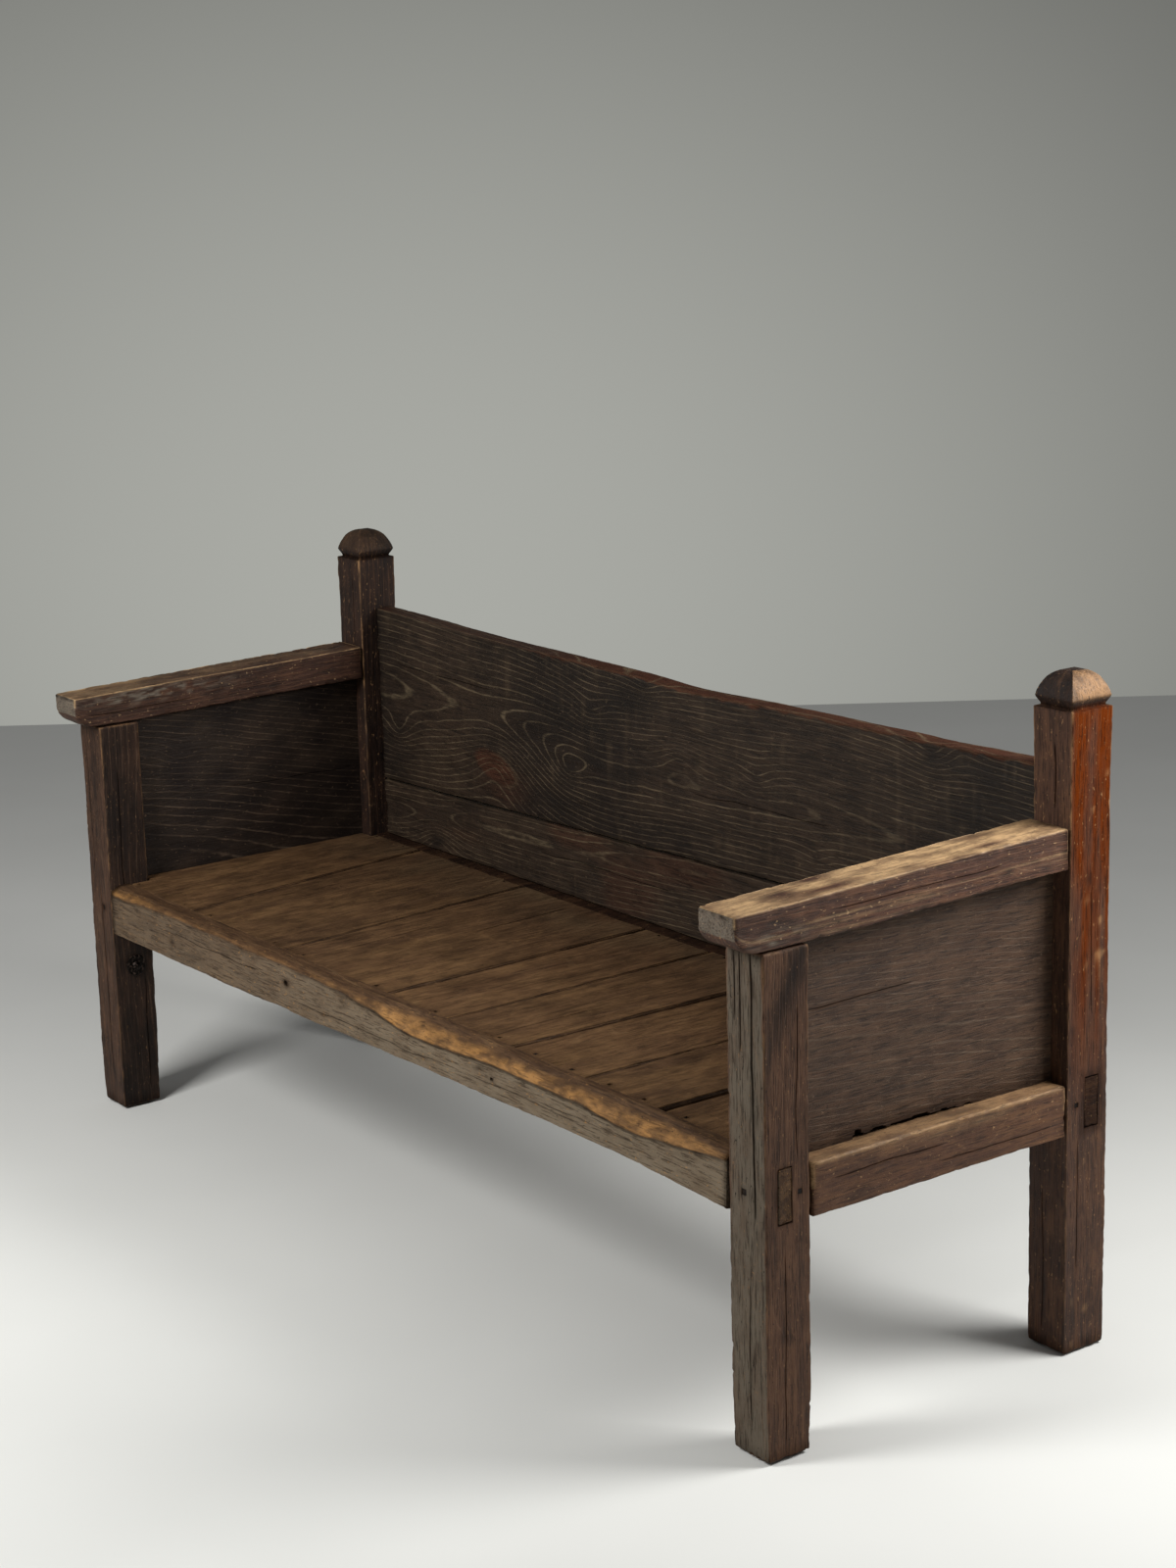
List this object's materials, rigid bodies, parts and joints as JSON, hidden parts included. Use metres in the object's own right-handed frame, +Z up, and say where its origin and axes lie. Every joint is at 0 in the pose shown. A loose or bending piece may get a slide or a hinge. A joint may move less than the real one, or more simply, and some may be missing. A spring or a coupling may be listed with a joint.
{
  "type": "monks bench",
  "caption": "Long pegged wooden settle with square legs, panelled arms, plank back and seat, and posts carved to small finials.",
  "frame": {"origin": "on the floor, in the middle of the overall length and depth", "axes": "+X along the bench to the sitter's left, seen from the front to the right; +Y from front to back; +Z up"},
  "size_m": [1.9, 0.676, 0.994],
  "materials": {
    "post_wood": "dark brown, red-brown where the old varnish holds, worn arrises",
    "leg_wood": "grey-brown, dry and cracked along the grain, satin on the sides",
    "arm_wood": "polished by hands to a pale gold-brown, dark in the pores",
    "rail_wood": "grey-brown face, top edge worn to bright golden wood",
    "side_rail_wood": "red-brown satin, rubbed along the upper arris",
    "panel_wood": "very dark brown, pale raised grain lines",
    "seat_wood": "mid brown, rubbed by use, darker towards the back",
    "back_wood": "dark brown with fine pale raised grain and knots",
    "peg_wood": "dark end grain",
    "iron": "blackened wrought iron, dull, a little rust"
  },
  "bodies": {
    "root": {"front_leg_left": "leg_wood", "front_leg_right": "leg_wood", "rear_post_left": "post_wood", "rear_post_right": "post_wood", "armrest_left": "arm_wood", "armrest_right": "arm_wood", "side_rail_left": "side_rail_wood", "side_rail_right": "side_rail_wood", "side_panel_left": "panel_wood", "side_panel_right": "panel_wood", "front_seat_rail": "rail_wood", "rear_seat_rail": "side_rail_wood", "back_board_lower": "back_wood", "back_board_upper": "back_wood", "front_rail_pegs": "peg_wood", "rear_rail_pegs": "peg_wood", "side_rail_pegs": "peg_wood", "seat_nails": "iron", "leg_bolt": "iron", "leg_washer": "iron", "seat_board_1": "seat_wood", "seat_board_2": "seat_wood", "seat_board_3": "seat_wood", "seat_board_4": "seat_wood", "seat_board_5": "seat_wood", "seat_board_6": "seat_wood", "seat_board_7": "seat_wood", "seat_board_8": "seat_wood"}
  },
  "joints": []
}
